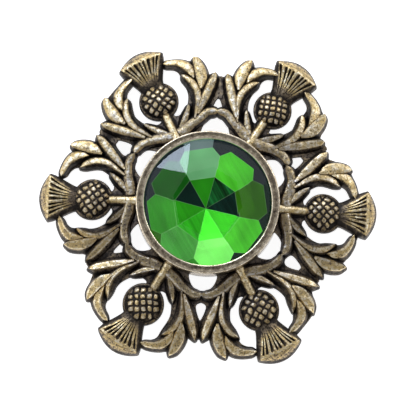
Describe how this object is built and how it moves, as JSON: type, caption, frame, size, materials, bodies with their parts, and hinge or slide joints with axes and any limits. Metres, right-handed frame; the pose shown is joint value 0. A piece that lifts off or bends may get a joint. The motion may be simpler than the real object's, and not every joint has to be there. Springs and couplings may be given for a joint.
{
  "type": "thistle brooch",
  "caption": "Round openwork brooch of thistle flowers and leaves in antique brass, with a large round green cut-glass stone in a raised ring setting and a pin at the back.",
  "frame": {"origin": "on the surface that the brooch lies on, under the middle of the stone", "axes": "+Z towards the side that is seen when it is worn, +X along one flower and along the pin"},
  "size_m": [0.0638, 0.0584, 0.0099],
  "materials": {
    "antique_brass": "cast, blackened in the recesses and rubbed bright on the ridges",
    "bezel_brass": "turned smooth, browned, rubbed bright on its two edges",
    "green_glass": "polished facets, foil at the back",
    "pin_steel": "plain drawn wire and pressed strip, brass plated and dulled"
  },
  "bodies": {
    "root": {"thistle_wreath": "antique_brass", "stone_bezel": "bezel_brass", "glass_stone": "green_glass", "pin_back": "pin_steel"}
  },
  "joints": []
}
